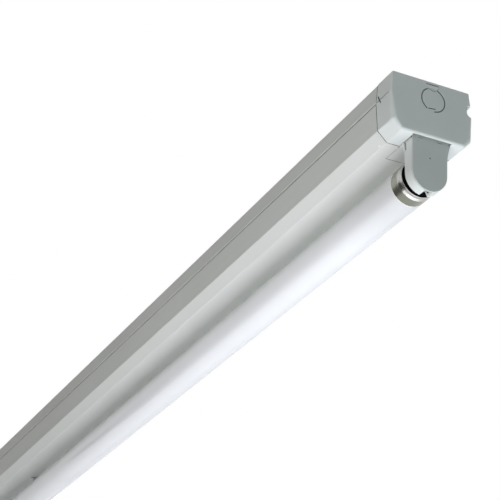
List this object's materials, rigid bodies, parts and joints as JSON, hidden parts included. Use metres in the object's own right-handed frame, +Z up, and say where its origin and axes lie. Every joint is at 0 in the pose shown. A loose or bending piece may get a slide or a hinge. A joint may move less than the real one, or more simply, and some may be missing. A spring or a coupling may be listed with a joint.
{
  "type": "batten light",
  "caption": "Slim ceiling batten: white sheet-steel housing with moulded end caps and twist-lock lampholders that carry one straight fluorescent tube below it.",
  "frame": {"origin": "middle of the flat back, in the plane that lies against the ceiling", "axes": "+Z up to the ceiling, +X along the batten towards the near end, the lamp hangs below at -Z"},
  "size_m": [1.2362, 0.0586, 0.0735],
  "materials": {
    "painted_steel": "white powder coat, satin",
    "white_plastic": "white polycarbonate, satin moulded",
    "holder_plastic": "white polycarbonate, smooth",
    "black_plastic": "black phenolic and rubber, matt",
    "lamp_glass": "glass with a white phosphor coat inside",
    "stem_glass": "clear glass",
    "lamp_cap_metal": "drawn and lightly brushed",
    "contact_brass": "stamped, bright",
    "zinc_steel": "zinc plated",
    "board_green": "solder resist over glass laminate",
    "brown_blue_lead": "pvc insulation, brown and blue",
    "earth_green_lead": "pvc insulation, green and yellow",
    "lamp_lead": "pvc insulation"
  },
  "bodies": {
    "housing": {"spine": "painted_steel", "cover": "painted_steel", "cover_post": "zinc_steel", "cover_screw": "zinc_steel", "end_cap_near": "white_plastic", "end_cap_far": "white_plastic", "holder_carrier_near": "white_plastic", "holder_carrier_far": "white_plastic", "carrier_screws": "zinc_steel", "lampholder_near": "holder_plastic", "lampholder_far": "holder_plastic", "holder_plate_near": "holder_plastic", "holder_plate_far": "holder_plastic", "contacts_near": "contact_brass", "contacts_far": "contact_brass", "ballast_case": "zinc_steel", "ballast_lid": "zinc_steel", "ballast_board": "board_green", "ballast_mains_terminal": "white_plastic", "ballast_lamp_terminal": "white_plastic", "ballast_screws": "zinc_steel", "terminal_block": "white_plastic", "terminal_screws": "zinc_steel", "earth_stud": "zinc_steel", "earth_washer": "zinc_steel", "earth_tag": "contact_brass", "earth_nut": "zinc_steel", "cable_bush": "black_plastic", "mains_leads": "brown_blue_lead", "earth_lead": "earth_green_lead", "lamp_leads_near": "lamp_lead", "lamp_leads_far": "lamp_lead", "lead_clips": "white_plastic"},
    "lamp": {"lamp_tube": "lamp_glass", "lamp_cap_near": "lamp_cap_metal", "lamp_cap_far": "lamp_cap_metal", "pin_insulator_near": "black_plastic", "pin_insulator_far": "black_plastic", "lamp_pins_near": "contact_brass", "lamp_pins_far": "contact_brass", "cathode_near": "stem_glass", "cathode_far": "stem_glass"},
    "rotor_near": {"rotor_near": "holder_plastic"},
    "rotor_far": {"rotor_far": "holder_plastic"}
  },
  "joints": [
    {"name": "lamp_turn", "type": "hinge", "parent": "housing", "child": "lamp", "pos_m": [0, 0, -0.0598], "axis": [1, 0, 0], "range_deg": [-90, 90]},
    {"name": "rotor_near_turn", "type": "hinge", "parent": "housing", "child": "rotor_near", "pos_m": [0.6039, 0, -0.0598], "axis": [1, 0, 0], "range_deg": [-90, 90]},
    {"name": "rotor_far_turn", "type": "hinge", "parent": "housing", "child": "rotor_far", "pos_m": [-0.6039, 0, -0.0598], "axis": [1, 0, 0], "range_deg": [-90, 90]}
  ],
  "couplings": [
    {"joint": "rotor_near_turn", "follows": "lamp_turn", "ratio": 1},
    {"joint": "rotor_far_turn", "follows": "lamp_turn", "ratio": 1}
  ]
}
